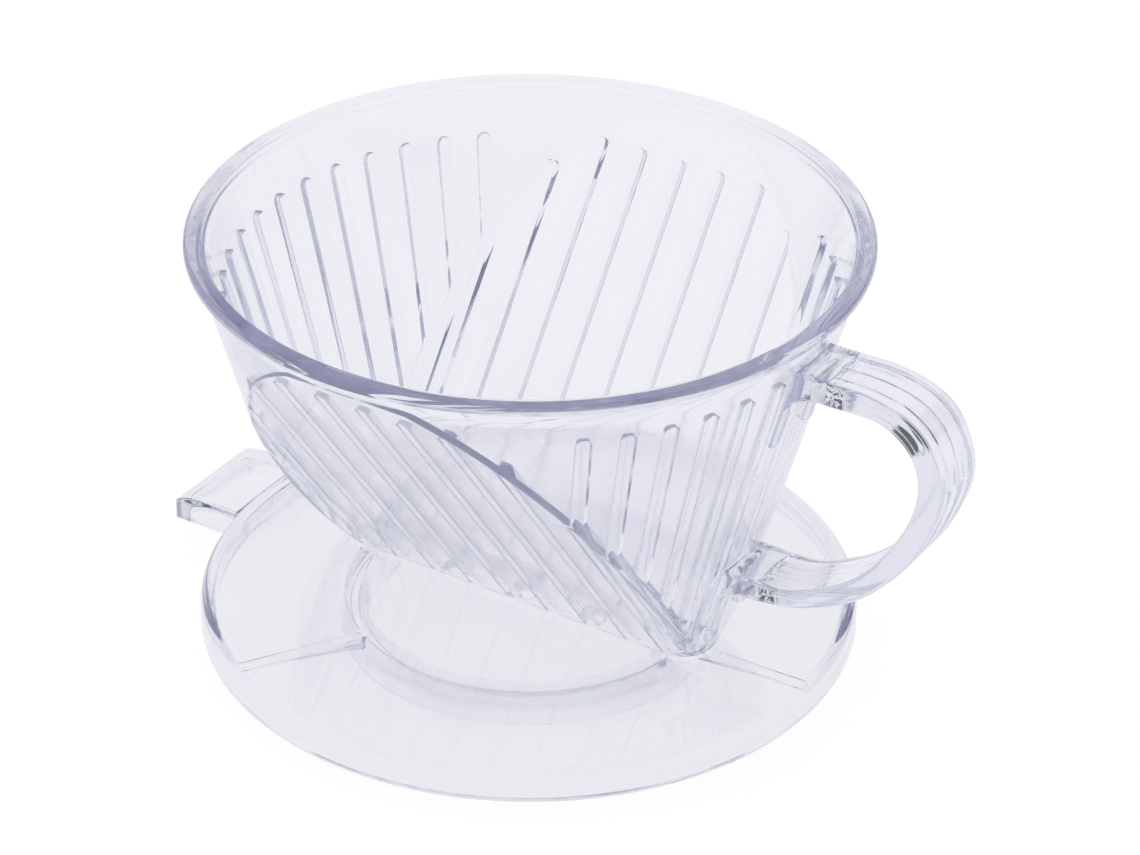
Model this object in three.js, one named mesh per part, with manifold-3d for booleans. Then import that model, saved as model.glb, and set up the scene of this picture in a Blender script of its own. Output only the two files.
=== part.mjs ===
// A clear moulded pour over coffee dripper: a ribbed cup, a loop handle and a base plate.
// Millimetres, +Z up. The cup's axis is vertical, the handle points to +X, the finger tab to -X.
import * as THREE from "three";
import { mergeVertices } from "three/addons/utils/BufferGeometryUtils.js";
import Module from "manifold-3d";

const wasm = await Module();
wasm.setup();

// Heights above the surface that the locating ring stands on.
const SKIRT_Z = 3.7; // lower edge of the plate's skirt
const PLATE_TOP_Z = 9.1; // upper face of the plate
const RIM_Z = 79.9; // top of the cup

// Cup.
const RIM_RADIUS = 58; // over the rim bead
const RIM_INNER_RADIUS = 55.3;
const BEAD_HEIGHT = 2.2;
const BEAD_ROUND = 0.7;
const CONE_RADIUS = 56.9; // outer radius of the cone, carried up to the rim
const CONE_TAPER = 0.277; // radius lost for each millimetre down
const FACE_HALF_WIDTH = 5.9; // from the middle plane to a flat face, at the plate
const FACE_SLOPE = 0.738; // half width gained for each millimetre up
const WALL = 2;
const FLOOR = 2;
const PLATE_THICK = 2;
const FOOT_Z = PLATE_TOP_Z - PLATE_THICK; // the foot reaches through the plate
const FLOOR_Z = FOOT_Z + FLOOR;
const DRIP_RADIUS = 2.25;
const DRIP_SPACING = 14;

// Ribs on the inside of the cup.
const RIB_WIDTH = 2.6;
const RIB_HEIGHT = 1.2;
const RIB_ROOT = 0.8; // depth that a rib is set into the wall
const RIB_TOP_Z = 71.1;
const RIB_STEP_DEG = 8; // between ribs on the conical ends
const END_RIBS = 6; // ribs on each side of the middle one
const RIB_PITCH = 8; // between ribs on the flat faces
const FACE_RIBS = 3;
const RIB_PAST_CREASE = 0.8;

// Handle.
const HANDLE_WIDTH = 12.2;
const HANDLE_THICK = 4.5;
const UPPER_WELD_X = 60.3;
const UPPER_ARM_Z = 72.7; // top of the upper arm
const LOWER_WELD_X = 48.8;
const LOWER_ARM_Z = 29.9; // top of the lower arm
const HANDLE_REACH_X = 82.3;
const LOWER_ARM_THICK = 3.8;

// Stubs on the cup that the handle is welded to.
const UPPER_STUB_DROP = 4.5; // from the underside of the arm to where the stub leaves the wall
const LOWER_STUB_DROP = 2;
const UPPER_TAIL_Z = 56.8; // lower end of the gussets
const LOWER_TAIL_Z = 16.4;
const TAIL_ROUND = 1;
const GUSSET_THICK = 1.6;
const GUSSET_PROUD = 1.1;

// Base plate.
const PLATE_RADIUS = 57.7;
const PLATE_ROUND = 1.6;
const SKIRT_THICK = 2.4;
const RING_RADIUS = 32.2;
const RING_THICK = 2.8;
const RING_DRAFT = 0.8;
const PLATE_RIB_THICK = 2.4;
const PLATE_RIB_DEEP = 2.2; // at the ring
const PLATE_RIB_SHALLOW = 0.9; // at the skirt
const PLATE_RIBS = 3;
const TAB_HALF_WIDTH = 10.4;
const TAB_REACH_X = -70;
const TAB_ROUND = 3.4;
const TAB_WALL = 2;

const GAP = 0.3; // between pieces that are welded on the real object
const PAST = 1; // how far a cutting solid runs past the face that it cuts
const REACH = 90; // longer than the object is wide
const ROUND_SEGMENTS = 72;
const HOLE_SEGMENTS = 24;
const FOOT_END_SEGMENTS = 16;
const OUTLINE_SEGMENTS = 5;
const RIB_SEGMENTS = 3;
const MERGE_DISTANCE = 1e-4;
const HALVINGS = 40; // steps of the search for a crease

// The origin is under the middle of the object's outline, so everything moves by this much.
const MIDDLE_X = (HANDLE_REACH_X + TAB_REACH_X) / 2;

const coneRadius = (z) => CONE_RADIUS - CONE_TAPER * (RIM_Z - z);
const faceHalfWidth = (z) => FACE_HALF_WIDTH + FACE_SLOPE * (z - PLATE_TOP_Z);

// Wall thickness measured level, for a wall that leans.
const coneWall = WALL * Math.hypot(1, CONE_TAPER);
const faceWall = WALL * Math.hypot(1, FACE_SLOPE);

function solid(geometry) {
  const bare = geometry.clone();
  bare.deleteAttribute("normal");
  bare.deleteAttribute("uv");
  const merged = mergeVertices(bare, MERGE_DISTANCE);
  return new wasm.Manifold(
    new wasm.Mesh({
      numProp: 3,
      vertProperties: merged.attributes.position.array,
      triVerts: new Uint32Array(merged.index.array),
    }),
  );
}

function joined(solids) {
  return solids.reduce((whole, piece) => whole.add(piece));
}

function meshOf(body, name, material) {
  const { numVert, numProp, vertProperties, triVerts } = body.getMesh();
  const positions = new Float32Array(numVert * 3);
  for (let i = 0; i < numVert; i++) {
    positions.set(vertProperties.subarray(i * numProp, i * numProp + 3), i * 3);
  }
  const geometry = new THREE.BufferGeometry();
  geometry.setAttribute("position", new THREE.BufferAttribute(positions, 3));
  geometry.setIndex(new THREE.BufferAttribute(triVerts, 1));
  geometry.computeVertexNormals();
  const mesh = new THREE.Mesh(geometry, material);
  mesh.name = name;
  return mesh;
}

// A solid of revolution about Z, from a closed outline of [radius, z] points.
function turned(outline) {
  const points = outline.map(([radius, z]) => new THREE.Vector2(radius, z));
  return solid(new THREE.LatheGeometry(points, ROUND_SEGMENTS).rotateX(Math.PI / 2));
}

// An outline in X and Z, made thick along Y about the plane y = middle.
function acrossY(shape, width, middle = 0) {
  const geometry = new THREE.ExtrudeGeometry(shape, {
    depth: width,
    bevelEnabled: false,
    curveSegments: OUTLINE_SEGMENTS,
  });
  return solid(geometry.rotateX(Math.PI / 2).translate(0, middle + width / 2, 0));
}

function polygon(points) {
  return new THREE.Shape(points.map(([x, y]) => new THREE.Vector2(x, y)));
}

function cylinder(radius, x, lowZ, highZ) {
  const geometry = new THREE.CylinderGeometry(radius, radius, highZ - lowZ, HOLE_SEGMENTS);
  return solid(geometry.rotateX(Math.PI / 2).translate(x, 0, (lowZ + highZ) / 2));
}

// The cup's form: a cone cut by two leaning faces, drawn in by a level inset.
function cupForm(coneInset, faceInset, lowZ, highZ) {
  const cone = turned([
    [0, lowZ],
    [coneRadius(lowZ) - coneInset, lowZ],
    [coneRadius(highZ) - coneInset, highZ],
    [0, highZ],
  ]);
  const low = faceHalfWidth(lowZ) - faceInset;
  const high = faceHalfWidth(highZ) - faceInset;
  const section = polygon([
    [-low, lowZ],
    [low, lowZ],
    [high, highZ],
    [-high, highZ],
  ]);
  const block = new THREE.ExtrudeGeometry(section, { depth: 2 * REACH, bevelEnabled: false });
  const alongX = new THREE.Matrix4().makeBasis(
    new THREE.Vector3(0, 1, 0),
    new THREE.Vector3(0, 0, 1),
    new THREE.Vector3(1, 0, 0),
  );
  return cone.intersect(solid(block.applyMatrix4(alongX).translate(-REACH, 0, 0)));
}

// A rib from low to high, with its flat back set into the wall and its crown towards inward.
function rib(low, high, inward) {
  const along = high.clone().sub(low);
  const up = along.clone().normalize();
  const side = new THREE.Vector3().crossVectors(inward, up).normalize();
  const out = new THREE.Vector3().crossVectors(up, side);
  const section = new THREE.Shape();
  section.moveTo(-RIB_WIDTH / 2, -RIB_ROOT);
  section.lineTo(RIB_WIDTH / 2, -RIB_ROOT);
  section.lineTo(RIB_WIDTH / 2, 0);
  section.absellipse(0, 0, RIB_WIDTH / 2, RIB_HEIGHT, 0, Math.PI, false, 0);
  section.closePath();
  const bar = new THREE.ExtrudeGeometry(section, {
    depth: along.length(),
    bevelEnabled: false,
    curveSegments: RIB_SEGMENTS,
  });
  const place = new THREE.Matrix4().makeBasis(side, out, up).setPosition(low);
  return solid(bar.applyMatrix4(place));
}

const innerConeRadius = (z) => coneRadius(z) - coneWall;
const innerHalfWidth = (z) => faceHalfWidth(z) - faceWall;

// Height at which the inner crease, where a flat face meets the cone, passes a test that
// changes sign once between the floor and the rim.
function creaseZ(isBelow) {
  let low = FLOOR_Z;
  let high = RIM_Z;
  for (let i = 0; i < HALVINGS; i++) {
    const middle = (low + high) / 2;
    if (isBelow(middle)) low = middle;
    else high = middle;
  }
  return low;
}

function endRibs() {
  const ribs = [];
  for (const end of [0, Math.PI]) {
    for (let i = -END_RIBS; i <= END_RIBS; i++) {
      const angle = end + THREE.MathUtils.degToRad(i * RIB_STEP_DEG);
      const at = (z) =>
        new THREE.Vector3(innerConeRadius(z) * Math.cos(angle), innerConeRadius(z) * Math.sin(angle), z);
      const inward = new THREE.Vector3(-Math.cos(angle), -Math.sin(angle), 0);
      ribs.push(rib(at(FLOOR_Z - RIB_ROOT), at(RIB_TOP_Z), inward));
    }
  }
  return ribs;
}

// A flat face has ribs at an even pitch, then one that meets each rib of the conical ends.
function faceRibPlaces() {
  const places = [];
  for (let i = -FACE_RIBS; i <= FACE_RIBS; i++) places.push(i * RIB_PITCH);
  for (let i = 2; i <= END_RIBS; i++) {
    const angle = THREE.MathUtils.degToRad(i * RIB_STEP_DEG);
    const z = creaseZ((height) => innerHalfWidth(height) < innerConeRadius(height) * Math.sin(angle));
    const x = innerConeRadius(z) * Math.cos(angle);
    places.push(x, -x);
  }
  return places;
}

function faceRibs() {
  const ribs = [];
  for (const x of faceRibPlaces()) {
    const crease = creaseZ((z) => Math.hypot(x, innerHalfWidth(z)) < innerConeRadius(z));
    const top = Math.min(RIB_TOP_Z, crease + RIB_PAST_CREASE);
    for (const side of [-1, 1]) {
      const at = (z) => new THREE.Vector3(x, side * innerHalfWidth(z), z);
      ribs.push(rib(at(FLOOR_Z - RIB_ROOT), at(top), new THREE.Vector3(0, -side, 0)));
    }
  }
  return ribs;
}

function rimBead() {
  const low = RIM_Z - BEAD_HEIGHT;
  return turned([
    [RIM_INNER_RADIUS, RIM_Z],
    [coneRadius(low) - coneWall / 2, low - BEAD_ROUND],
    [coneRadius(low), low - BEAD_ROUND],
    [RIM_RADIUS - BEAD_ROUND / 2, low],
    [RIM_RADIUS, low + BEAD_ROUND],
    [RIM_RADIUS, RIM_Z - BEAD_ROUND],
    [RIM_RADIUS - BEAD_ROUND, RIM_Z],
    [RIM_INNER_RADIUS, RIM_Z],
  ]);
}

// A stub for one end of the handle, with a gusset down each side of it. weldX is the face
// that the handle is welded to and topZ its top. The underside curves down by drop to the wall,
// and the gussets run on down to tailZ.
function handleStub({ weldX, topZ, thick, drop, tailZ }) {
  const lowZ = topZ - thick;
  const wallZ = lowZ - drop;
  const wallX = coneRadius(wallZ);
  const insideX = coneRadius(lowZ) - coneWall;
  const faceX = weldX - GAP;
  const stub = new THREE.Shape();
  stub.moveTo(insideX, topZ);
  stub.lineTo(insideX, lowZ);
  stub.lineTo(wallX - coneWall / 2, wallZ);
  stub.lineTo(wallX, wallZ);
  stub.quadraticCurveTo(coneRadius(lowZ) + coneWall / 2, lowZ, faceX, lowZ);
  stub.lineTo(faceX, topZ);
  stub.closePath();
  const proudX = (z) => coneRadius(z) + GUSSET_PROUD;
  const gusset = polygon([
    [coneRadius(lowZ) - coneWall / 2, lowZ],
    [coneRadius(tailZ) - coneWall / 2, tailZ],
    [proudX(tailZ) - GUSSET_PROUD / 2, tailZ],
    [proudX(tailZ + TAIL_ROUND), tailZ + TAIL_ROUND],
    [proudX(wallZ), wallZ],
    [proudX(lowZ) + GUSSET_PROUD, lowZ],
  ]);
  const offset = (HANDLE_WIDTH - GUSSET_THICK) / 2;
  return joined([
    acrossY(stub, HANDLE_WIDTH),
    acrossY(gusset, GUSSET_THICK, offset),
    acrossY(gusset, GUSSET_THICK, -offset),
  ]);
}

const upperStub = {
  weldX: UPPER_WELD_X,
  topZ: UPPER_ARM_Z,
  thick: HANDLE_THICK,
  drop: UPPER_STUB_DROP,
  tailZ: UPPER_TAIL_Z,
};
const lowerStub = {
  weldX: LOWER_WELD_X,
  topZ: LOWER_ARM_Z,
  thick: LOWER_ARM_THICK,
  drop: LOWER_STUB_DROP,
  tailZ: LOWER_TAIL_Z,
};

// The part of the cup that passes through the plate.
function footCollar(inset, lowZ, highZ) {
  const halfWidth = FACE_HALF_WIDTH - inset;
  const halfLength = coneRadius(PLATE_TOP_Z) - inset;
  const outline = new THREE.Shape();
  outline.moveTo(-halfLength + halfWidth, -halfWidth);
  outline.absarc(halfLength - halfWidth, 0, halfWidth, -Math.PI / 2, Math.PI / 2, false);
  outline.absarc(-halfLength + halfWidth, 0, halfWidth, Math.PI / 2, (3 * Math.PI) / 2, false);
  outline.closePath();
  const geometry = new THREE.ExtrudeGeometry(outline, {
    depth: highZ - lowZ,
    bevelEnabled: false,
    curveSegments: FOOT_END_SEGMENTS,
  });
  return solid(geometry.translate(0, 0, lowZ));
}

function cupBody() {
  const outside = joined([
    cupForm(0, 0, PLATE_TOP_Z + GAP, RIM_Z - BEAD_ROUND),
    footCollar(0, FOOT_Z, PLATE_TOP_Z + 2 * GAP),
    rimBead(),
    handleStub(upperStub),
    handleStub(lowerStub),
  ]);
  const inside = cupForm(coneWall, faceWall, FLOOR_Z, RIM_Z + WALL);
  const midWall = cupForm(coneWall / 2, faceWall / 2, PLATE_TOP_Z + GAP, RIM_Z - BEAD_HEIGHT);
  const ribs = joined([...endRibs(), ...faceRibs()]).intersect(midWall);
  const drips = [-1, 0, 1].map((i) => cylinder(DRIP_RADIUS, i * DRIP_SPACING, FOOT_Z - PAST, FLOOR_Z + PAST));
  return outside.subtract(inside).add(ribs).subtract(joined(drips));
}

// The loop's outer and inner edges, from the upper weld round to the lower one.
function handleLoop() {
  const upperIn = UPPER_ARM_Z - HANDLE_THICK;
  const lowerOut = LOWER_ARM_Z - LOWER_ARM_THICK;
  const outer = [
    [68, 72.6],
    [74.9, 70.9],
    [79.2, 67.4],
    [HANDLE_REACH_X, 58.5],
    [80.2, 49.8],
    [76.2, 42.2],
    [67.3, 32.7],
    [57, 27.6],
    [LOWER_WELD_X, lowerOut],
  ];
  const inner = [
    [54, 30.2],
    [61.3, 33.3],
    [68.2, 38.3],
    [73.4, 45.4],
    [76.9, 53],
    [77.6, 59.5],
    [75.4, 64.7],
    [70.5, 67.9],
    [UPPER_WELD_X, upperIn],
  ];
  const toVectors = (points) => points.map(([x, z]) => new THREE.Vector2(x, z));
  const loop = new THREE.Shape();
  loop.moveTo(UPPER_WELD_X, UPPER_ARM_Z);
  loop.splineThru(toVectors(outer));
  loop.lineTo(LOWER_WELD_X, LOWER_ARM_Z);
  loop.splineThru(toVectors(inner));
  loop.closePath();
  return loop;
}

function handle() {
  return acrossY(handleLoop(), HANDLE_WIDTH);
}

// Plate, skirt and locating ring in one section.
function plateDisc() {
  const under = PLATE_TOP_Z - PLATE_THICK;
  const skirtIn = PLATE_RADIUS - SKIRT_THICK;
  const round = PLATE_ROUND;
  const ringIn = RING_RADIUS - RING_THICK;
  return turned([
    [0, under],
    [ringIn, under],
    [ringIn + RING_DRAFT / 2, 0],
    [RING_RADIUS - RING_DRAFT, 0],
    [RING_RADIUS, under],
    [skirtIn, under],
    [skirtIn + RING_DRAFT / 2, SKIRT_Z],
    [PLATE_RADIUS, SKIRT_Z],
    [PLATE_RADIUS, PLATE_TOP_Z - round],
    [PLATE_RADIUS - round * (1 - Math.SQRT1_2), PLATE_TOP_Z - round * (1 - Math.SQRT1_2)],
    [PLATE_RADIUS - round, PLATE_TOP_Z],
    [0, PLATE_TOP_Z],
  ]);
}

// A bar under the plate from the ring to the skirt, shallower towards the skirt.
function plateRib(angle) {
  const top = PLATE_TOP_Z - PLATE_THICK / 2;
  const under = PLATE_TOP_Z - PLATE_THICK;
  const side = polygon([
    [RING_RADIUS - RING_THICK / 2, top],
    [RING_RADIUS - RING_THICK / 2, under - PLATE_RIB_DEEP],
    [PLATE_RADIUS - SKIRT_THICK / 2, under - PLATE_RIB_SHALLOW],
    [PLATE_RADIUS - SKIRT_THICK / 2, top],
  ]);
  const bar = new THREE.ExtrudeGeometry(side, { depth: PLATE_RIB_THICK, bevelEnabled: false });
  return solid(bar.rotateX(Math.PI / 2).translate(0, PLATE_RIB_THICK / 2, 0).rotateZ(angle));
}

// The finger tab: a tongue with a rounded nose, open below.
function fingerTab() {
  const rootX = -(PLATE_RADIUS - SKIRT_THICK / 2);
  const tongue = (inset) => {
    const nose = TAB_REACH_X + inset;
    const top = PLATE_TOP_Z - inset;
    const low = inset ? SKIRT_Z - PAST : SKIRT_Z;
    const round = TAB_ROUND - inset;
    const shape = new THREE.Shape();
    shape.moveTo(rootX, low);
    shape.lineTo(rootX, top);
    shape.lineTo(nose + round, top);
    shape.absarc(nose + round, top - round, round, Math.PI / 2, Math.PI, false);
    shape.lineTo(nose, low);
    shape.closePath();
    return acrossY(shape, 2 * (TAB_HALF_WIDTH - inset));
  };
  return tongue(0).subtract(tongue(TAB_WALL));
}

function basePlate() {
  const angles = Array.from({ length: PLATE_RIBS }, (_, i) => (i * 2 * Math.PI) / PLATE_RIBS);
  const skirtInside = turned([
    [0, SKIRT_Z - PAST],
    [PLATE_RADIUS - SKIRT_THICK, SKIRT_Z - PAST],
    [PLATE_RADIUS - SKIRT_THICK, PLATE_TOP_Z - PLATE_THICK],
    [0, PLATE_TOP_Z - PLATE_THICK],
  ]);
  const slot = footCollar(-GAP, FOOT_Z - PAST, PLATE_TOP_Z + PAST);
  const tab = fingerTab().subtract(skirtInside);
  return joined([plateDisc(), tab, ...angles.map(plateRib)]).subtract(slot);
}

function clearPlastic(color, roughness) {
  return new THREE.MeshStandardMaterial({ color, roughness, metalness: 0 });
}

const dripper = new THREE.Group();
dripper.add(meshOf(cupBody(), "cup_body", clearPlastic(0xe4e4ee, 0.06)));
dripper.add(meshOf(handle(), "handle", clearPlastic(0xe0e2ee, 0.05)));
dripper.add(meshOf(basePlate(), "base_plate", clearPlastic(0xe6e6ef, 0.06)));
dripper.position.x = -MIDDLE_X;

const part = new THREE.Group();
part.add(dripper);

export default part;
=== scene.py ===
import math

import bpy
import numpy as np
from mathutils import Matrix, Vector, noise


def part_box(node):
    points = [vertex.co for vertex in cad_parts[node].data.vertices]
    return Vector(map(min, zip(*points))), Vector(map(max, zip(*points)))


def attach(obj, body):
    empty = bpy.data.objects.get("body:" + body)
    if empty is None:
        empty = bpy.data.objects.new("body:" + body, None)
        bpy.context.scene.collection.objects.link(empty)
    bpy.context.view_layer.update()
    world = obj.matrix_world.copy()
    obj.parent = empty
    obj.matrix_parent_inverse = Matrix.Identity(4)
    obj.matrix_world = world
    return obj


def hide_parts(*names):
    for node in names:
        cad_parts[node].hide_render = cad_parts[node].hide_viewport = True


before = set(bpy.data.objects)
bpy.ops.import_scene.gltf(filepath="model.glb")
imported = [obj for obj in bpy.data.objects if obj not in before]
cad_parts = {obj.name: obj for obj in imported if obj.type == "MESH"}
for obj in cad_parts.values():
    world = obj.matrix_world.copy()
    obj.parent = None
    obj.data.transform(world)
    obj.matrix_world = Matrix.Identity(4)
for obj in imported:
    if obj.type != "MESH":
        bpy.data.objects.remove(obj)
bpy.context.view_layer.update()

# A clear moulded pour over dripper. Shapes are worked out in millimetres about the cup's axis,
# with z = 0 where the locating ring stands, and become metres in the frame's place in piece().
MM = 0.001
cup_low, cup_high = (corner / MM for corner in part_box("cup_body"))
plate_low, plate_high = (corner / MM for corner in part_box("base_plate"))
handle_low, handle_high = (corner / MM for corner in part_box("handle"))

RIM_RADIUS = (cup_high.y - cup_low.y) / 2
AXIS_X = cup_low.x + RIM_RADIUS
RIM_Z = cup_high.z
FOOT_Z = cup_low.z
PLATE_TOP_Z = plate_high.z
PLATE_RADIUS = plate_high.x - AXIS_X
TAB_REACH_X = plate_low.x - AXIS_X
HANDLE_REACH_X = handle_high.x - AXIS_X
HANDLE_WIDTH = handle_high.y - handle_low.y

# Cup.
CONE_RADIUS = RIM_RADIUS - 1.1  # outer radius of the cone, carried up to the rim
CONE_TAPER = 0.277
FACE_HALF_WIDTH = 5.9
FACE_SLOPE = 0.738
OUTER_CORNER = 1.0
OUTER_CORNER_SPREAD = 4.6  # added at the plate, and fading upwards
INNER_CORNER = 0.35
INNER_CORNER_SPREAD = 2.0  # added at the floor, and fading upwards
CORNER_FADE = 8.0
WALL = 2.0
BEAD_HEIGHT = 1.5
BEAD_ROUND = 0.9
COVE_HEIGHT = 2.3
RIM_INNER_RADIUS = RIM_RADIUS - 3.1
LIP_DROP = 1.5  # from the rim's top to the small step round its inside
FLOOR_Z = FOOT_Z + 2.0
FLOOR_ROUND = 1.0
DRIP_RADIUS = 2.25
DRIP_EASE = 0.8
DRIP_SPACING = 14.0
DRIP_STEPS = 40

# Ribs.
RIB_WIDTH = 2.1
RIB_FLARE = 0.42  # added to each side at the root
RIB_BITE = 0.1  # depth of the flare's edge in the wall
RIB_FLANK_STEPS = 9
RIB_HEIGHT = 1.1
RIB_CROWN = 0.05
RIB_ROOT = 0.8  # depth of the whole rib in the wall
RIB_STATION = 4.0
BALL_STEPS = (10, 20, 30, 40, 50, 60, 70, 80, 87)  # degrees round a rib's ball end
BALL_FULLNESS = 1.35
RIB_TOP_Z = RIM_Z - 8.8
RIB_STEP = math.radians(8)
END_RIBS = 6
RIB_PITCH = 8.0
FACE_RIBS = 3
RIB_PAST_CREASE = 0.9
HALVINGS = 40

# Handle and the stubs that carry it.
HANDLE_THICK = 4.5
LOWER_ARM_THICK = 3.8
UPPER_WELD_X = 60.3
UPPER_ARM_Z = 72.7
LOWER_WELD_X = 48.8
LOWER_ARM_Z = 29.9
UPPER_STUB_DROP = 4.5
LOWER_STUB_DROP = 2.0
STUB_ROOT = 2.6
STUB_STEPS = 15
UPPER_TAIL_Z = 56.8
LOWER_TAIL_Z = 16.4
GUSSET_THICK = 1.6
GUSSET_PROUD = 1.1
GUSSET_ROOT = 1.2
GUSSET_TAIL = 1.1
BAR_EDGE = 0.75
WELD_GAP = 0.06
WELD_STEPS = (0.97, 0.9, 0.8, 0.68, 0.56, 0.44, 0.32, 0.2, 0.08)
WELD_NOISE = ((0.45, 3.1, 0.45), (1.7, 8.4, 0.22))  # scale, slice through the noise, height
GROOVES = (-3.9, -0.4, 3.1)  # places across the handle's outer face
GROOVE_HALF = 0.4
GROOVE_FLOOR_HALF = 0.16
GROOVE_DEPTH = 0.14
FLOW_POINTS = 15  # four to each ripple on the inner face
FLOW_MARGIN = 1.2
FLOW_DEPTH = 0.05
HANDLE_STEPS = 120

# Base plate.
PLATE_THICK = 2.0
PLATE_ROUND = 2.0
PLATE_MIDDLE = 6.0  # radius of the flat discs that close the middle of the plate
ROUND_STEPS = 288
SKIRT_Z = 3.7
SKIRT_THICK = 2.4
RING_RADIUS = 32.2
RING_THICK = 2.8
TAB_HALF_WIDTH = 10.4
TAB_WALL = 2.0
TAB_EDGE = 0.35
POCKET_EDGE = 1.1
NOSE_LENGTH = 8.5
NOSE_DROP = 2.3
NOSE_STEPS = 24
PLATE_RIBS = 3
PLATE_RIB_HALF = 1.2
PLATE_RIB_AT_RING = 2.2  # how far a rib hangs below the plate
PLATE_RIB_AT_SKIRT = 0.5
SLOT_GROWTH = 1.0025

SHARP_EDGE = math.radians(28)

CONE_WALL = WALL * math.hypot(1, CONE_TAPER)  # measured level
FACE_WALL = WALL * math.hypot(1, FACE_SLOPE)


def cone_radius(z, inset=0.0):
    return CONE_RADIUS - CONE_TAPER * (RIM_Z - z) - inset


def half_width(z, inset=0.0):
    return FACE_HALF_WIDTH + FACE_SLOPE * (z - PLATE_TOP_Z) - inset


# ---------------------------------------------------------------- mesh tools


def piece(name, vertices, faces):
    """A mesh object from points in millimetres about the cup's axis."""
    points = (np.asarray(vertices, float) + [AXIS_X, 0, 0]) * MM
    mesh = bpy.data.meshes.new(name)
    mesh.from_pydata(points.tolist(), [], faces)
    mesh.validate()
    obj = bpy.data.objects.new(name, mesh)
    bpy.context.scene.collection.objects.link(obj)
    return obj


def loft(name, rings):
    """Joins rings of equal length into a solid whose two ends are flat caps."""
    rings = [np.asarray(ring, float) for ring in rings]
    count = len(rings[0])
    faces = []
    for i in range(len(rings) - 1):
        a = i * count
        b = a + count
        for j in range(count):
            k = (j + 1) % count
            faces.append((a + j, a + k, b + k, b + j))
    faces.append(tuple(range(count - 1, -1, -1)))
    faces.append(tuple(range((len(rings) - 1) * count, len(rings) * count)))
    obj = piece(name, np.concatenate(rings), faces)
    if volume(obj) < 0:
        obj.data.flip_normals()
    return obj


def volume(obj):
    """Six times the volume, negative where the faces point inwards."""
    mesh = obj.data
    mesh.calc_loop_triangles()
    corners = np.empty(len(mesh.loop_triangles) * 3, np.int32)
    mesh.loop_triangles.foreach_get("vertices", corners)
    points = np.empty(len(mesh.vertices) * 3, np.float32)
    mesh.vertices.foreach_get("co", points)
    a, b, c = points.reshape(-1, 3)[corners.reshape(-1, 3)].transpose(1, 0, 2)
    return float(np.einsum("ij,ij->", a, np.cross(b, c)))


def combine(base, other, operation):
    """Cuts or joins base with other, which is then removed."""
    modifier = base.modifiers.new("combine", "BOOLEAN")
    modifier.operation = operation
    modifier.solver = "MANIFOLD"
    modifier.object = other
    bpy.context.view_layer.update()
    depsgraph = bpy.context.evaluated_depsgraph_get()
    result = bpy.data.meshes.new_from_object(base.evaluated_get(depsgraph), depsgraph=depsgraph)
    base.modifiers.clear()
    old = base.data
    base.data = result
    result.name = old.name
    bpy.data.meshes.remove(old)
    used = other.data
    bpy.data.objects.remove(other)
    bpy.data.meshes.remove(used)
    return base


def together(name, objects):
    """Several solids that don't touch, as one mesh."""
    vertices, faces = [], []
    for obj in objects:
        start = len(vertices)
        vertices += [v.co[:] for v in obj.data.vertices]
        faces += [tuple(start + i for i in p.vertices) for p in obj.data.polygons]
        data = obj.data
        bpy.data.objects.remove(obj)
        bpy.data.meshes.remove(data)
    mesh = bpy.data.meshes.new(name)
    mesh.from_pydata(vertices, [], faces)
    obj = bpy.data.objects.new(name, mesh)
    bpy.context.scene.collection.objects.link(obj)
    return obj


def smooth(obj):
    """Smooth shading, with edges sharper than SHARP_EDGE kept."""
    obj.data.shade_smooth()
    obj.data.set_sharp_from_angle(angle=SHARP_EDGE)


def unit_circle(segments):
    angles = np.linspace(0, 2 * math.pi, segments, endpoint=False)
    return np.stack([np.cos(angles), np.sin(angles)], 1)


def ring_at(z, flat):
    """Level points lifted to a height."""
    return np.column_stack([flat, np.full(len(flat), z)])


def revolve(name, profile):
    """Turns an outline of (radius, z) about the cup's axis. Its ends are closed with flat discs."""
    circle = unit_circle(ROUND_STEPS)
    return loft(name, [ring_at(z, circle * radius) for radius, z in profile])


def arc(cx, cz, radius, start, end, steps=6):
    """Points of a round edge, with angles in degrees."""
    angles = np.radians(np.linspace(start, end, steps))
    return [(cx + radius * math.cos(a), cz + radius * math.sin(a)) for a in angles]


# ---------------------------------------------------------------- the cup's form

FACE_STEPS = 8
CORNER_STEPS = 8
CONE_STEPS = 52
SMALLEST_FACE = 4.0  # half-length below which the flat face blends into the cone
LARGEST_CORNER = 0.97  # of the half-width
LEVEL_STEP = 1.6
PEAK_CLEAR = 4.5
PEAK_STEPS = (4, 2.6, 1.7, 1.1, 0.7, 0.4, 0.15)  # below the peak of a flat face


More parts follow.
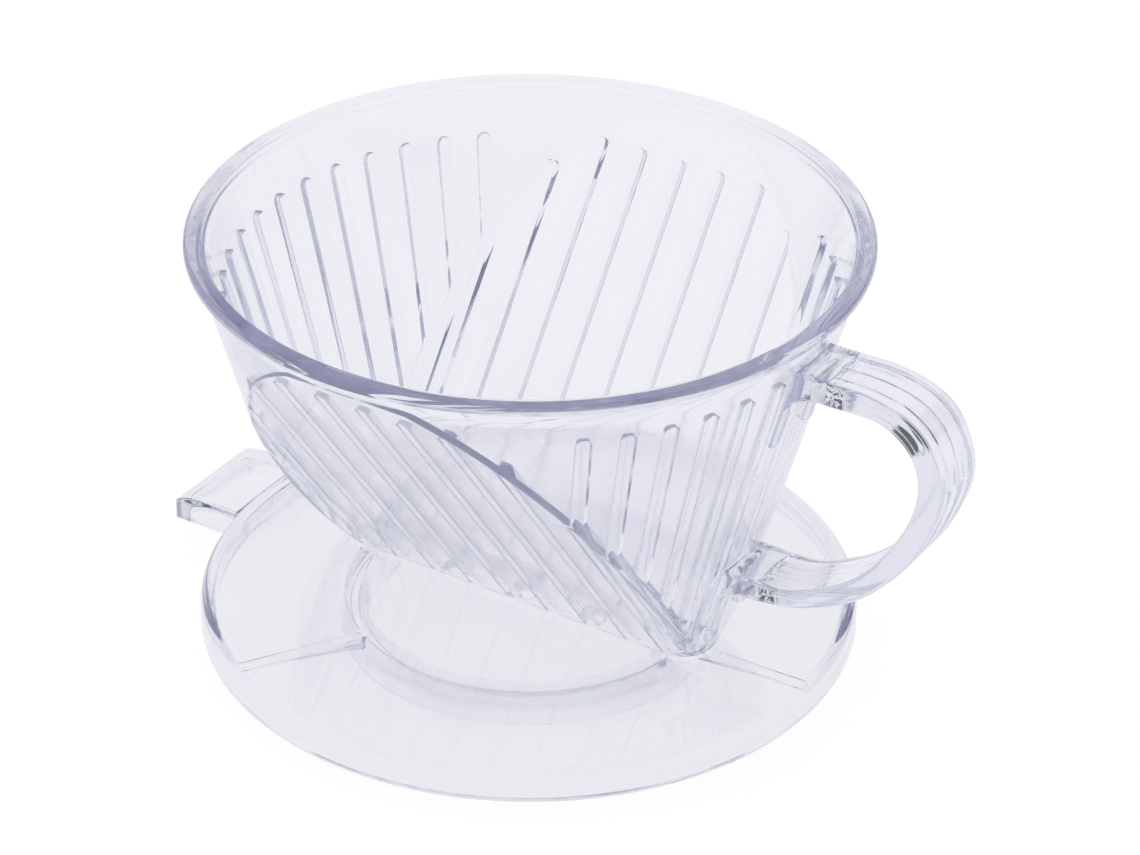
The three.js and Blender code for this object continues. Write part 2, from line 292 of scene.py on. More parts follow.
def quarter(z, cone_inset, face_inset, corner):
    """A quarter of the level outline, from the middle of a flat face to the end of the cone."""
    radius = cone_radius(z, cone_inset)
    half = half_width(z, face_inset)
    corner = min(corner, LARGEST_CORNER * half)
    reach = (radius - corner) ** 2 - (half - corner) ** 2 if half < radius else 0
    centre = math.sqrt(max(reach, 0))
    if centre > SMALLEST_FACE:
        edge = math.atan2(half - corner, centre)
        face = [(x, half) for x in np.linspace(0, centre, FACE_STEPS, endpoint=False)]
        turn = np.linspace(math.pi / 2, edge, CORNER_STEPS, endpoint=False)
        bend = [(centre + corner * math.cos(a), half - corner + corner * math.sin(a)) for a in turn]
    else:
        across = np.linspace(0, SMALLEST_FACE, FACE_STEPS, endpoint=False)
        face = [(x, min(half, math.sqrt(radius**2 - x * x))) for x in across]
        first = math.acos(SMALLEST_FACE / radius)
        edge = first - 2 * corner / radius  # the bend's points spread over two corner radii
        turn = np.linspace(first, edge, CORNER_STEPS, endpoint=False)
        bend = [(radius * math.cos(a), radius * math.sin(a)) for a in turn]
    sweep = np.linspace(edge, 0, CONE_STEPS)
    round_end = [(radius * math.cos(a), radius * math.sin(a)) for a in sweep]
    return np.array(face + bend + round_end)


def outline(z, cone_inset, face_inset, corner):
    """The whole level outline as one closed ring."""
    q = quarter(z, cone_inset, face_inset, corner)
    right = np.concatenate([q, q[-2::-1] * [1, -1]])
    left = right[-2:0:-1] * [-1, 1]
    return np.concatenate([right, left])


def outer_corner(z):
    return OUTER_CORNER + OUTER_CORNER_SPREAD * math.exp(-max(z - PLATE_TOP_Z, 0) / CORNER_FADE)


def inner_corner(z):
    return INNER_CORNER + INNER_CORNER_SPREAD * math.exp(-max(z - FLOOR_Z, 0) / CORNER_FADE)


def peak_z(cone_inset, face_inset):
    """Height at which the flat face has narrowed to nothing."""
    gap = cone_radius(0, cone_inset) - half_width(0, face_inset)
    return gap / (FACE_SLOPE - CONE_TAPER)


def heights(low, high, peak):
    """Levels from low to high, closer together under the peak of the flat faces."""
    near = [peak - d for d in PEAK_STEPS]
    body = list(np.arange(low, min(peak - PEAK_CLEAR, high), LEVEL_STEP))
    return body + [z for z in near if low < z < high]


def circle_like(template, radius, z):
    """A circle whose points lie at the same angles as the template's."""
    angles = np.arctan2(template[:, 1], template[:, 0])
    return ring_at(z, np.column_stack([np.cos(angles), np.sin(angles)]) * radius)


def foot_outline():
    """The straight foot, with the same outline as the cup where it meets the plate."""
    return outline(PLATE_TOP_Z, 0, 0, outer_corner(PLATE_TOP_Z))


def cup_outside():
    """The cup as a solid, from its foot to the rounded bead round the rim.

    Rings a few tenths of a millimetre apart keep the edges of the bead crisp.
    """
    under = RIM_Z - BEAD_HEIGHT
    cove = under - COVE_HEIGHT
    foot = foot_outline()
    rings = [ring_at(FOOT_Z, foot * 0.995), ring_at(FOOT_Z + 0.2, foot), ring_at(PLATE_TOP_Z, foot)]
    for z in heights(PLATE_TOP_Z + 0.6, cove - 0.8, peak_z(0, 0)):
        rings.append(ring_at(z, outline(z, 0, 0, outer_corner(z))))
    top = outline(RIM_Z, 0, 0, 0.7)
    bead = [(cone_radius(cove - 0.4), cove - 0.4), (cone_radius(cove) + 0.06, cove)]
    bead += [(RIM_RADIUS - 0.12, under), (RIM_RADIUS, under + 0.15)]
    bead += arc(RIM_RADIUS - BEAD_ROUND, RIM_Z - BEAD_ROUND, BEAD_ROUND, 0, 90, 10)
    bead += [(RIM_INNER_RADIUS + 0.6, RIM_Z), (RIM_INNER_RADIUS - 1.5, RIM_Z)]
    rings += [circle_like(top, radius, z) for radius, z in bead]
    return loft("cup_outside", rings)


def cup_inside():
    """The cup's hollow, rounded at the floor, with a small step just under the rim."""
    peak = peak_z(CONE_WALL, FACE_WALL)
    rings = []
    for rise in (0, 0.15, 0.5, FLOOR_ROUND):
        z = FLOOR_Z + rise
        draw = FLOOR_ROUND - math.sqrt(FLOOR_ROUND**2 - (FLOOR_ROUND - rise) ** 2)
        rings.append(ring_at(z, outline(z, CONE_WALL + draw, FACE_WALL + draw, inner_corner(z))))
    lip = RIM_Z - LIP_DROP
    for z in heights(FLOOR_Z + 1.8, lip - 0.4, peak) + [lip - 0.4]:
        rings.append(ring_at(z, outline(z, CONE_WALL, FACE_WALL, inner_corner(z))))
    top = outline(RIM_Z, CONE_WALL, FACE_WALL, 0.9)
    wall = cone_radius(lip, CONE_WALL)
    step = [(wall - 0.03, lip), (wall, lip + 0.1), (RIM_INNER_RADIUS - 0.05, lip + 0.2)]
    step += [(RIM_INNER_RADIUS - 0.02, lip + 0.35), (RIM_INNER_RADIUS, RIM_Z - 0.12)]
    step += [(RIM_INNER_RADIUS + 0.06, RIM_Z - 0.03), (RIM_INNER_RADIUS + 0.24, RIM_Z)]
    step += [(RIM_INNER_RADIUS + 1.5, RIM_Z + 0.8)]
    rings += [circle_like(top, radius, z) for radius, z in step]
    return loft("cup_inside", rings)


# ---------------------------------------------------------------- ribs


def crease_z(is_below):
    """The height, found by halving, up to which is_below holds."""
    low, high = FLOOR_Z, RIM_Z
    for _ in range(HALVINGS):
        middle = (low + high) / 2
        if is_below(middle):
            low = middle
        else:
            high = middle
    return low


def rib_section():
    """Half-width and height of a rib's outline, flared at the root and rounded at the shoulders."""
    flank = []
    for t in np.linspace(0, 1, RIB_FLANK_STEPS + 1):
        rise = t * t * (3 - 2 * t)
        flank.append((RIB_WIDTH / 2 + RIB_FLARE * (1 - t), RIB_HEIGHT * rise - RIB_BITE * (1 - t)))
    crown = [(RIB_WIDTH / 4, RIB_HEIGHT + RIB_CROWN)]
    return [(flank[0][0], -RIB_ROOT)] + flank + crown


def rib(low, high, inward):
    """A flared rib from low to high, with a ball end at the top."""
    low, high, inward = (np.asarray(v, float) for v in (low, high, inward))
    up = (high - low) / np.linalg.norm(high - low)
    side = np.cross(inward, up)
    side /= np.linalg.norm(side)
    out = np.cross(up, side)
    right = rib_section()
    section = right + [(-s, h) for s, h in reversed(right)]
    half = right[1][0]
    length = np.linalg.norm(high - low) - half
    stations = [(d, 1.0) for d in np.linspace(0, length, max(2, int(length / RIB_STATION)))]
    for angle in np.radians(BALL_STEPS):
        stations.append((length + half * math.sin(angle), math.cos(angle)))
    rings = []
    for along, size in stations:
        middle = low + up * along
        lift = min(1, BALL_FULLNESS * size)
        rings.append([middle + side * s * size + out * (h * lift if h > 0 else h) for s, h in section])
    return loft("rib", rings)


def on_inner_cone(angle, z):
    radius = cone_radius(z, CONE_WALL)
    return [radius * math.cos(angle), radius * math.sin(angle), z]


def end_ribs():
    """The ribs up the inside of both conical ends, at even angles."""
    ribs = []
    for end in (0, math.pi):
        for i in range(-END_RIBS, END_RIBS + 1):
            angle = end + i * RIB_STEP
            low = on_inner_cone(angle, FLOOR_Z - 1)
            high = on_inner_cone(angle, RIB_TOP_Z)
            ribs.append(rib(low, high, [-math.cos(angle), -math.sin(angle), 0]))
    return together("end_ribs", ribs)


def face_rib_places():
    """An even pitch across the middle, then one rib to meet each rib of the conical ends."""
    even = [i * RIB_PITCH for i in range(FACE_RIBS + 1)]
    meeting = []
    for i in range(2, END_RIBS + 1):
        angle = i * RIB_STEP
        z = crease_z(lambda h: half_width(h, FACE_WALL) < cone_radius(h, CONE_WALL) * math.sin(angle))
        meeting.append(cone_radius(z, CONE_WALL) * math.cos(angle))
    return even, meeting


def face_ribs(places):
    """The ribs up the inside of both flat faces, which run a little past the creases."""
    ribs = []
    for x in places:
        crease = crease_z(lambda z: math.hypot(x, half_width(z, FACE_WALL)) < cone_radius(z, CONE_WALL))
        top = min(RIB_TOP_Z, crease + RIB_PAST_CREASE)
        for side in (-1, 1):
            low = [x, side * half_width(FLOOR_Z - 1, FACE_WALL), FLOOR_Z - 1]
            high = [x, side * half_width(top, FACE_WALL), top]
            ribs.append(rib(low, high, [0, -side, 0]))
    return together("face_ribs", ribs)


# ---------------------------------------------------------------- handle and stubs


def rounded_bar(width, thick):
    """A rounded rectangle of (across, depth), its depth running from 0 to thick."""
    half = width / 2
    corners = [(half - BAR_EDGE, BAR_EDGE, 270), (half - BAR_EDGE, thick - BAR_EDGE, 0)]
    corners += [(-half + BAR_EDGE, thick - BAR_EDGE, 90), (-half + BAR_EDGE, BAR_EDGE, 180)]
    return np.array([p for cx, cz, start in corners for p in arc(cx, cz, BAR_EDGE, start, start + 90)])


def handle_section(width, thick):
    """A rounded bar, with fine grooves on its outer face and soft flow ripples on its inner face."""
    bar = [tuple(p) for p in rounded_bar(width, thick)]
    half = len(bar) // 2
    ripples = []
    for i, y in enumerate(np.linspace(width / 2 - FLOW_MARGIN, FLOW_MARGIN - width / 2, FLOW_POINTS)):
        ripples.append((y, thick - FLOW_DEPTH * (1 + math.sin(i * math.pi / 2))))
    grooves = []
    for y in GROOVES:
        grooves += [(y - GROOVE_HALF, 0), (y - GROOVE_FLOOR_HALF, GROOVE_DEPTH)]
        grooves += [(y + GROOVE_FLOOR_HALF, GROOVE_DEPTH), (y + GROOVE_HALF, 0)]
    return np.array(bar[:half] + ripples + bar[half:] + grooves)


def weld_bump(y, z):
    """The uneven face of a weld, which both sides of it share."""
    bump = 0
    for scale, level, height in WELD_NOISE:
        bump += height * noise.noise(Vector((scale * y, scale * z, level)))
    return bump


def weld_face(ring, weld_x, shift):
    """Rings that close a bar's end with an uneven face, from its edge to its middle."""
    ring = np.asarray(ring, float)
    middle = ring.mean(0)
    rings = []
    for size in (1.0, *WELD_STEPS):
        points = middle + (ring - middle) * size
        points[:, 0] = [weld_x + shift + weld_bump(y, z) for _, y, z in points]
        rings.append(points)
    return rings


def stub(weld_x, top_z, thick, drop):
    """The block that one end of the handle is welded to, curving into the cup's wall below."""
    low_z = top_z - thick
    wall_z = low_z - drop
    start = np.array([cone_radius(wall_z) - 0.3, wall_z])
    bend = np.array([cone_radius(low_z) + 0.9, low_z])
    end = np.array([weld_x - 0.9, low_z])
    under = [(start[0] - STUB_ROOT, wall_z)]
    for t in np.linspace(0, 1, STUB_STEPS):
        under.append(start * (1 - t) ** 2 + bend * 2 * t * (1 - t) + end * t * t)
    rings = []
    for x, z in under:
        section = rounded_bar(HANDLE_WIDTH, top_z - z)
        rings.append([(x, y, top_z - d) for y, d in section])
    return loft("stub", rings + weld_face(rings[-1], weld_x, -WELD_GAP / 2))


def gusset(low_z, tail_z, side):
    """A fin that runs down the wall under a stub's side face, to a rounded tail."""
    outer = side * HANDLE_WIDTH / 2
    inner = side * (HANDLE_WIDTH / 2 - GUSSET_THICK)
    middle = (outer + inner) / 2
    rings = []
    tail = np.radians([4, 20, 38, 56, 73, 90])
    levels = [(tail_z + GUSSET_TAIL * (1 - math.cos(a)), math.sin(a)) for a in tail]
    levels += [(z, 1.0) for z in np.linspace(tail_z + 2, low_z + 0.5, 8)]
    for z, size in levels:
        base = cone_radius(z)
        proud = base - 0.3 + (GUSSET_PROUD + 0.3) * size
        half = abs(outer - inner) / 2 * (0.35 + 0.65 * size)
        section = [(base - GUSSET_ROOT, -half), (proud - 0.3, -half), (proud, -half + 0.35)]
        section += [(proud, half - 0.35), (proud - 0.3, half), (base - GUSSET_ROOT, half)]
        rings.append([(x, middle + y, z) for x, y in section])
    return loft("gusset", rings)


def curve_through(points, steps=24):
    """A smooth curve through points, by centripetal Catmull-Rom."""
    points = [np.array(p, float) for p in points]
    chain = [2 * points[0] - points[1], *points, 2 * points[-1] - points[-2]]
    curve = []
    for a, b, c, d in zip(chain, chain[1:], chain[2:], chain[3:]):
        t1 = math.sqrt(np.linalg.norm(b - a))
        t2 = t1 + math.sqrt(np.linalg.norm(c - b))
        t3 = t2 + math.sqrt(np.linalg.norm(d - c))
        for s in np.linspace(t1, t2, steps, endpoint=False):
            ab = ((t1 - s) * a + s * b) / t1
            bc = ((t2 - s) * b + (s - t1) * c) / (t2 - t1)
            cd = ((t3 - s) * c + (s - t2) * d) / (t3 - t2)
            abc = ((t2 - s) * ab + s * bc) / t2
            bcd = ((t3 - s) * bc + (s - t1) * cd) / (t3 - t1)
            curve.append(((t2 - s) * abc + (s - t1) * bcd) / (t2 - t1))
    curve.append(points[-1])
    return np.array(curve)


def resample(curve, count):
    """Points at even distances along a flat curve."""
    lengths = np.concatenate([[0], np.cumsum(np.linalg.norm(np.diff(curve, axis=0), axis=1))])
    at = np.linspace(0, lengths[-1], count)
    return np.column_stack([np.interp(at, lengths, curve[:, i]) for i in range(2)])


def handle_loop():
    """The handle, lofted between its outer and inner curves, which run from the upper weld down."""
    outer = [
        (UPPER_WELD_X, UPPER_ARM_Z),
        (68, 72.6),
        (74.9, 70.9),
        (79.2, 67.4),
        (HANDLE_REACH_X, 58.5),
        (80.2, 49.8),
        (76.2, 42.2),
        (67.3, 32.7),
        (57, 27.6),
        (LOWER_WELD_X, LOWER_ARM_Z - LOWER_ARM_THICK),
    ]
    inner = [
        (UPPER_WELD_X, UPPER_ARM_Z - HANDLE_THICK),
        (70.5, 67.9),
        (75.4, 64.7),
        (77.6, 59.5),
        (76.9, 53),
        (73.4, 45.4),
        (68.2, 38.3),
        (61.3, 33.3),
        (54, 30.2),
        (LOWER_WELD_X, LOWER_ARM_Z),
    ]
    outer_points = resample(curve_through(outer), HANDLE_STEPS)
    inner_points = resample(curve_through(inner), HANDLE_STEPS)
    rings = []
    for a, b in zip(outer_points, inner_points):
        thick = np.linalg.norm(b - a)
        inward = (b - a) / thick
        section = handle_section(HANDLE_WIDTH, thick)
        rings.append([(a[0] + inward[0] * d, y, a[1] + inward[1] * d) for y, d in section])
    first = weld_face(rings[0], UPPER_WELD_X, WELD_GAP / 2)[::-1]
    last = weld_face(rings[-1], LOWER_WELD_X, WELD_GAP / 2)
    return loft("handle_loop", first + rings[1:-1] + last)


# ---------------------------------------------------------------- base plate


def plate_profile():
    """The plate's section, from its middle along the underside, round the skirt and back on top.

    Each corner is eased by a few tenths of a millimetre.
    """
    under = PLATE_TOP_Z - PLATE_THICK
    skirt_in = PLATE_RADIUS - SKIRT_THICK
    ring_in = RING_RADIUS - RING_THICK
    profile = [(PLATE_MIDDLE, under), (ring_in - 0.4, under)]
    profile += [(ring_in - 0.1, under - 0.1), (ring_in, under - 0.4)]
    profile += [(ring_in + 0.35, 0.35), (ring_in + 0.5, 0.1), (ring_in + 0.75, 0)]
    profile += [(RING_RADIUS - 1.15, 0), (RING_RADIUS - 0.9, 0.1), (RING_RADIUS - 0.8, 0.35)]
    profile += [(RING_RADIUS, under - 0.4), (RING_RADIUS + 0.1, under - 0.1)]
    profile += [(RING_RADIUS + 0.4, under)]
    profile += [(skirt_in - 0.6, under), (skirt_in - 0.2, under - 0.15), (skirt_in, under - 0.6)]
    profile += [(skirt_in + 0.3, SKIRT_Z + 0.3), (skirt_in + 0.55, SKIRT_Z)]
    profile += [(PLATE_RADIUS - 0.5, SKIRT_Z), (PLATE_RADIUS - 0.12, SKIRT_Z + 0.12)]
    profile += [(PLATE_RADIUS, SKIRT_Z + 0.5)]
    profile += arc(PLATE_RADIUS - PLATE_ROUND, PLATE_TOP_Z - PLATE_ROUND, PLATE_ROUND, 0, 90, 14)
    profile += [(PLATE_MIDDLE, PLATE_TOP_Z)]
    return profile


def plate_rib(angle):
    """A rib under the plate, deeper at the ring than at the skirt."""
    top = PLATE_TOP_Z - PLATE_THICK / 2
    under = PLATE_TOP_Z - PLATE_THICK
    half = PLATE_RIB_HALF
    ring_side = RING_RADIUS - RING_THICK / 2
    skirt_side = PLATE_RADIUS - SKIRT_THICK / 2
    rings = []
    for r, depth in ((ring_side, PLATE_RIB_AT_RING), (skirt_side, PLATE_RIB_AT_SKIRT)):
        low = under - depth
        right = [(half, top), (half, low + 0.3), (half - 0.3, low)]
        section = right + [(-across, z) for across, z in reversed(right)]
        c, s = math.cos(angle), math.sin(angle)
        rings.append([(r * c - y * s, r * s + y * c, z) for y, z in section])
    return loft("plate_rib", rings)


def tongue(inset, low_z, edge):
    """The finger tab's form, drawn in by an inset: a flat top that rounds over to the nose."""
    nose = TAB_REACH_X + inset
    top = PLATE_TOP_Z - inset
    length = NOSE_LENGTH - inset / 2
    half = TAB_HALF_WIDTH - inset
    stations = []
    for angle in np.radians(np.linspace(0, 90, NOSE_STEPS)):
        x = nose + length * (1 - math.cos(angle))
        z = top - NOSE_DROP * (1 - math.sin(angle))
        stations.append((x, z, half - edge * (1 - min(1, (x - nose) / edge)) ** 2))
    stations.append((-(PLATE_RADIUS - SKIRT_THICK / 2), top, half))
    rings = []
    for x, z, reach in stations:
        right = [(reach, low_z)] + arc(reach - edge, z - edge, edge, 0, 90)
        section = right + [(-y, level) for y, level in reversed(right)]
        rings.append([(x, y, level) for y, level in section])
    return loft("tongue", rings)


def base_plate():
    """The plate with its ribs and its hollow finger tab, and the slot for the cup's foot."""
    plate = revolve("base_plate_clear", plate_profile())
    ribs = [plate_rib(i * 2 * math.pi / PLATE_RIBS) for i in range(PLATE_RIBS)]
    combine(plate, together("plate_ribs", ribs), "UNION")
    tab = tongue(0, SKIRT_Z, TAB_EDGE)
    combine(tab, tongue(TAB_WALL, SKIRT_Z - 1, POCKET_EDGE), "DIFFERENCE")
    combine(plate, tab, "UNION")
    sides = foot_outline() * SLOT_GROWTH
    slot = loft("slot", [ring_at(FOOT_Z - 1, sides), ring_at(PLATE_TOP_Z + 1, sides)])
    return combine(plate, slot, "DIFFERENCE")


def drip_holes():
    """Three holes in a row through the cup's floor, eased at both ends."""
    circle = unit_circle(DRIP_STEPS)
    levels = [(FOOT_Z - 0.5, DRIP_EASE), (FOOT_Z + 0.3, 0)]
    levels += [(FLOOR_Z - 0.3, 0), (FLOOR_Z + 0.5, DRIP_EASE)]
    holes = []
    for i in (-1, 0, 1):
        rings = [ring_at(z, circle * (DRIP_RADIUS + grow) + [i * DRIP_SPACING, 0]) for z, grow in levels]
        holes.append(loft("drip_hole", rings))
    return together("drip_holes", holes)


def cup():
    """The cup's body with the handle's stubs, hollowed out round its ribs."""
    body = cup_outside()
    body.name = "cup_body_clear"
    upper_low = UPPER_ARM_Z - HANDLE_THICK
    lower_low = LOWER_ARM_Z - LOWER_ARM_THICK
    combine(body, stub(UPPER_WELD_X, UPPER_ARM_Z, HANDLE_THICK, UPPER_STUB_DROP), "UNION")
    combine(body, stub(LOWER_WELD_X, LOWER_ARM_Z, LOWER_ARM_THICK, LOWER_STUB_DROP), "UNION")
    for side in (-1, 1):
        combine(body, gusset(upper_low, UPPER_TAIL_Z, side), "UNION")
        combine(body, gusset(lower_low, LOWER_TAIL_Z, side), "UNION")
    hollow = cup_inside()
    combine(hollow, end_ribs(), "DIFFERENCE")
    even, meeting = face_rib_places()
    both = even + [-x for x in even if x]
    combine(hollow, face_ribs(both), "DIFFERENCE")
    # These lie close together at the creases, so each pair is cut on its own.
    for x in meeting:
        combine(hollow, face_ribs([x, -x]), "DIFFERENCE")
    combine(body, hollow, "DIFFERENCE")
    return combine(body, drip_holes(), "DIFFERENCE")


# ---------------------------------------------------------------- materials

RESIN = (0.985, 0.985, 0.995)
LAVENDER = (0.64, 0.65, 0.79)  # what is left of white light in the depth of the plastic
RESIN_IOR = 1.57
WAVE_SCALE = 90
WAVE_STRENGTH = 0.05
WAVE_HEIGHT = 0.0004
RIPPLE_SCALE = 420
RIPPLE_STRENGTH = 0.12
RIPPLE_HEIGHT = 0.00005
BEST_POLISH = 0.04
WORST_POLISH = 0.13
POLISH_RANGE = (0.35, 0.75)  # of the slow waviness
FLOOR_GLOW = 0.93
FLOOR_THROUGH_PLASTIC = (0.87, 0.872, 0.91)
FLOOR_GREY = (0.09, 0.11)
FLOOR_GRAIN_SCALE = 40
WHITE = (1.0, 1.0, 1.0)


def clear_plastic(name, tint, density):
    """Clear resin, a little lavender in its depth, with the faint waviness of a moulding."""
    material = bpy.data.materials.new(name)
    material.use_nodes = True
    nodes, links = material.node_tree.nodes, material.node_tree.links
    shader = nodes["Principled BSDF"]
    shader.inputs["Base Color"].default_value = (*RESIN, 1)
    shader.inputs["IOR"].default_value = RESIN_IOR
    shader.inputs["Transmission Weight"].default_value = 1.0
    place = nodes.new("ShaderNodeTexCoord")
    # Slow waviness where the melt cooled unevenly, and fine flow ripples on top of it.
    wave = nodes.new("ShaderNodeTexNoise")
    wave.inputs["Scale"].default_value = WAVE_SCALE
    wave.inputs["Detail"].default_value = 2
    ripple = nodes.new("ShaderNodeTexNoise")
    ripple.inputs["Scale"].default_value = RIPPLE_SCALE
    ripple.inputs["Detail"].default_value = 3
    links.new(place.outputs["Object"], wave.inputs["Vector"])
    links.new(place.outputs["Object"], ripple.inputs["Vector"])
    broad = nodes.new("ShaderNodeBump")
    broad.inputs["Strength"].default_value = WAVE_STRENGTH
    broad.inputs["Distance"].default_value = WAVE_HEIGHT
    fine = nodes.new("ShaderNodeBump")
    fine.inputs["Strength"].default_value = RIPPLE_STRENGTH
    fine.inputs["Distance"].default_value = RIPPLE_HEIGHT
    links.new(wave.outputs["Fac"], broad.inputs["Height"])
    links.new(ripple.outputs["Fac"], fine.inputs["Height"])
    links.new(broad.outputs["Normal"], fine.inputs["Normal"])
    links.new(fine.outputs["Normal"], shader.inputs["Normal"])
    # Handling has left the polish a little uneven.
    haze = nodes.new("ShaderNodeMapRange")
    haze.inputs["From Min"].default_value = POLISH_RANGE[0]
    haze.inputs["From Max"].default_value = POLISH_RANGE[1]
    haze.inputs["To Min"].default_value = BEST_POLISH
    haze.inputs["To Max"].default_value = WORST_POLISH
    links.new(wave.outputs["Fac"], haze.inputs["Value"])
    links.new(haze.outputs["Result"], shader.inputs["Roughness"])
    depth = nodes.new("ShaderNodeVolumeAbsorption")
    depth.inputs["Color"].default_value = (*tint, 1)
    depth.inputs["Density"].default_value = density
    links.new(depth.outputs["Volume"], nodes["Material Output"].inputs["Volume"])
    return material


def floor_material():
    """A lit white table top, with the faint mottle of opal acrylic."""
    material = bpy.data.materials.new("pale_floor")
    material.use_nodes = True
    nodes, links = material.node_tree.nodes, material.node_tree.links
    shader = nodes["Principled BSDF"]
    shader.inputs["Roughness"].default_value = 0.9
    shader.inputs["Specular IOR Level"].default_value = 0.1
    shader.inputs["Emission Strength"].default_value = FLOOR_GLOW
    grain = nodes.new("ShaderNodeTexNoise")
    grain.inputs["Scale"].default_value = FLOOR_GRAIN_SCALE
    ramp = nodes.new("ShaderNodeValToRGB")
    for stop, grey in zip(ramp.color_ramp.elements, FLOOR_GREY):
        stop.color = (grey, grey, grey, 1)
    # Burnt out to white where the camera looks straight at it, and pale grey in the clear object.
    path = nodes.new("ShaderNodeLightPath")
    glow = nodes.new("ShaderNodeMix")
    glow.data_type = "RGBA"
    glow.inputs["A"].default_value = (*FLOOR_THROUGH_PLASTIC, 1)
    glow.inputs["B"].default_value = (*WHITE, 1)
    links.new(path.outputs["Is Camera Ray"], glow.inputs["Factor"])
    links.new(grain.outputs["Fac"], ramp.inputs["Fac"])
    links.new(ramp.outputs["Color"], shader.inputs["Base Color"])
    links.new(glow.outputs["Result"], shader.inputs["Emission Color"])
    return material


# ---------------------------------------------------------------- the object

# Each piece with its CAD node, its material slot and how strongly its depth is tinted.
looks = (
    (cup(), "cup_body", "clear_cup", 25.0),
    (handle_loop(), "handle", "clear_handle", 30.0),
    (base_plate(), "base_plate", "clear_base", 30.0),
)
for obj, node, slot, density in looks:
    smooth(obj)
    obj.data.materials.clear()
    obj.data.materials.append(clear_plastic(slot, LAVENDER, density))
    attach(obj, "root")
    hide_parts(node)

# ---------------------------------------------------------------- studio

CAMERA_TURN = math.radians(-32.72)  # from the camera's right to the object's +X
CAMERA_RISE = math.radians(31.598)
CAMERA_YAW = math.radians(-0.549)
CAMERA_ROLL = math.radians(0.241)
CAMERA_DISTANCE = 722.6
CAMERA_AIM_Z = 37.246 + SKIRT_Z
CAMERA_LENS = 132.64
SENSOR_WIDTH = 36
FLOOR_HALF = 2.5  # metres
LIGHT_BOUNCES = 128

TENT_SIDE = (0.93, 0.935, 0.96)
TENT_TOP = (0.86, 0.865, 0.90)
TENT_FOOT = (0.64, 0.65, 0.71)
TENT_DOOR = (0.07, 0.08, 0.09)
TENT_FOOT_RISE = 0.08  # sine of the angle above the floor
TENT_FOOT_BLEND = 0.05
DOOR_DIRECTION = (0.38, 0.86, 0.3)
DOOR_EDGE = 0.94  # cosine of the door's half-angle
DOOR_BLEND = 0.02


def from_camera_side(x, y, z):
    """A direction or offset given as right of, away from and above the camera's view."""
    c, s = math.cos(CAMERA_TURN), math.sin(CAMERA_TURN)
    return Vector((x * c + y * s, -x * s + y * c, z))


def add_camera():
    """The camera, worked out on axes of its own and then turned into the object's frame."""
    right = Vector((1, 0, 0))
    up = Vector((0, math.sin(CAMERA_RISE), math.cos(CAMERA_RISE)))
    ahead = Vector((0, math.cos(CAMERA_RISE), -math.sin(CAMERA_RISE)))
    turned = math.cos(CAMERA_YAW) * right + math.sin(CAMERA_YAW) * ahead
    ahead = math.cos(CAMERA_YAW) * ahead - math.sin(CAMERA_YAW) * right
    right = math.cos(CAMERA_ROLL) * turned + math.sin(CAMERA_ROLL) * up
    up = math.cos(CAMERA_ROLL) * up - math.sin(CAMERA_ROLL) * turned
    place = Vector((0, -CAMERA_DISTANCE * math.cos(CAMERA_RISE), CAMERA_DISTANCE * math.sin(CAMERA_RISE)))
    data = bpy.data.cameras.new("camera")
    data.lens = CAMERA_LENS
    data.sensor_fit = "HORIZONTAL"
    data.sensor_width = SENSOR_WIDTH
    data.clip_end = 50
    camera = bpy.data.objects.new("camera", data)
    axes = [from_camera_side(*axis) for axis in (right, up, -ahead)]
    matrix = Matrix.Identity(4)
    for column, axis in enumerate(axes):
        matrix.col[column].xyz = axis
    offset = from_camera_side(*place) + Vector((AXIS_X, 0, CAMERA_AIM_Z))
    matrix.translation = offset * MM
    camera.matrix_world = matrix
    bpy.context.scene.collection.objects.link(camera)
    bpy.context.scene.camera = camera


def add_floor():
    """A plain square floor, much wider than the object."""
    mesh = bpy.data.meshes.new("floor")
    signs = ((-1, -1), (1, -1), (1, 1), (-1, 1))
    corners = [(x * FLOOR_HALF, y * FLOOR_HALF, 0) for x, y in signs]
    mesh.from_pydata(corners, [], [(0, 1, 2, 3)])
    mesh.materials.append(floor_material())
    floor = bpy.data.objects.new("floor", mesh)
    bpy.context.scene.collection.objects.link(floor)


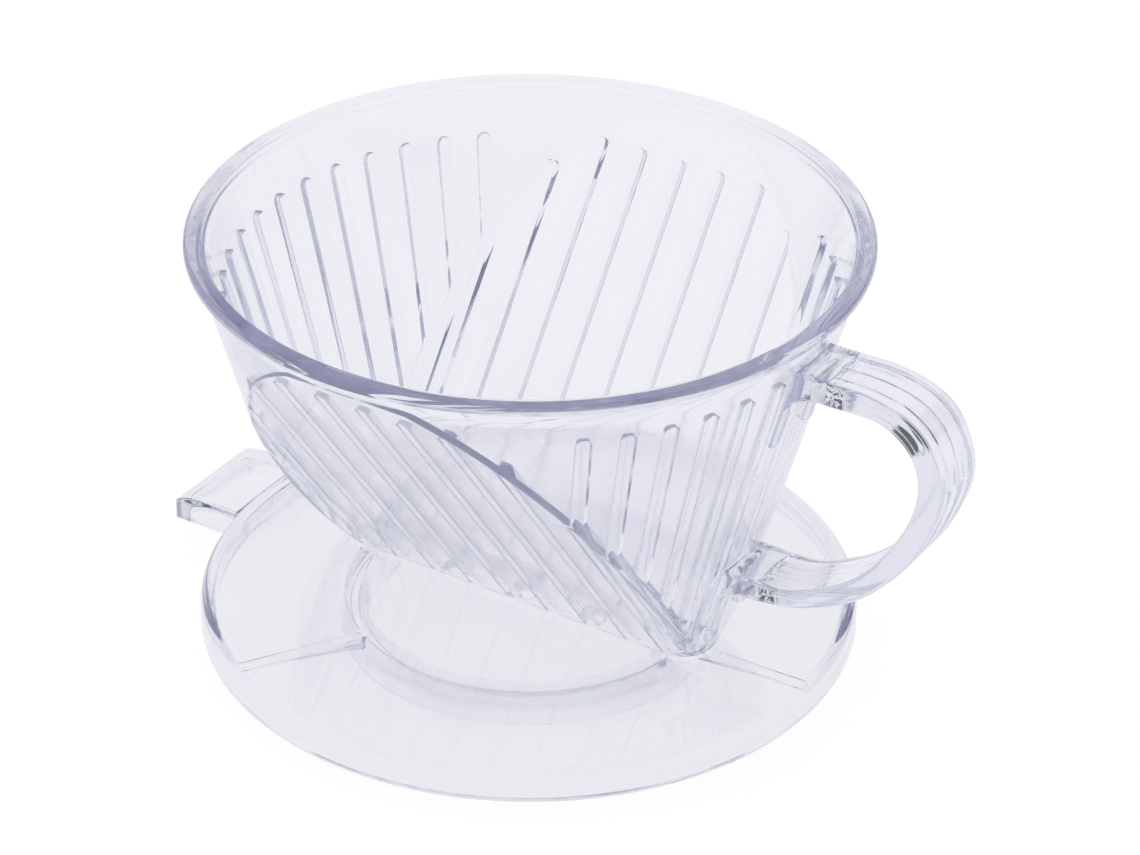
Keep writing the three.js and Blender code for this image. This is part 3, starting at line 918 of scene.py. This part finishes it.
def add_world():
    """A white light tent, dimmer round its foot, with a dark door behind the object.

    The camera sees it as burnt out to white.
    """
    world = bpy.data.worlds.new("light_tent")
    bpy.context.scene.world = world
    world.use_nodes = True
    nodes, links = world.node_tree.nodes, world.node_tree.links
    background = nodes["Background"]
    direction = nodes.new("ShaderNodeTexCoord")
    rise = nodes.new("ShaderNodeSeparateXYZ")
    links.new(direction.outputs["Generated"], rise.inputs["Vector"])
    height = nodes.new("ShaderNodeValToRGB")
    ramp = height.color_ramp
    ramp.elements[0].position = TENT_FOOT_RISE
    ramp.elements[0].color = (*TENT_FOOT, 1)
    ramp.elements[1].position = 1.0
    ramp.elements[1].color = (*TENT_TOP, 1)
    side = ramp.elements.new(TENT_FOOT_RISE + TENT_FOOT_BLEND)
    side.color = (*TENT_SIDE, 1)
    links.new(rise.outputs["Z"], height.inputs["Fac"])
    towards = nodes.new("ShaderNodeVectorMath")
    towards.operation = "DOT_PRODUCT"
    towards.inputs[1].default_value = Vector(DOOR_DIRECTION).normalized()
    links.new(direction.outputs["Generated"], towards.inputs[0])
    door = nodes.new("ShaderNodeMapRange")
    door.interpolation_type = "SMOOTHSTEP"
    door.inputs["From Min"].default_value = DOOR_EDGE
    door.inputs["From Max"].default_value = DOOR_EDGE + DOOR_BLEND
    links.new(towards.outputs["Value"], door.inputs["Value"])
    mix = nodes.new("ShaderNodeMix")
    mix.data_type = "RGBA"
    links.new(door.outputs["Result"], mix.inputs["Factor"])
    links.new(height.outputs["Color"], mix.inputs["A"])
    mix.inputs["B"].default_value = (*TENT_DOOR, 1)
    path = nodes.new("ShaderNodeLightPath")
    seen = nodes.new("ShaderNodeMix")
    seen.data_type = "RGBA"
    links.new(path.outputs["Is Camera Ray"], seen.inputs["Factor"])
    links.new(mix.outputs["Result"], seen.inputs["A"])
    seen.inputs["B"].default_value = (*WHITE, 1)
    links.new(seen.outputs["Result"], background.inputs["Color"])


add_camera()
add_floor()
add_world()

scene = bpy.context.scene
scene.view_settings.view_transform = "Standard"
# Light that is reflected to and fro inside a clear wall needs many bounces to get out.
scene.cycles.max_bounces = LIGHT_BOUNCES
scene.cycles.transmission_bounces = LIGHT_BOUNCES
scene.cycles.glossy_bounces = LIGHT_BOUNCES
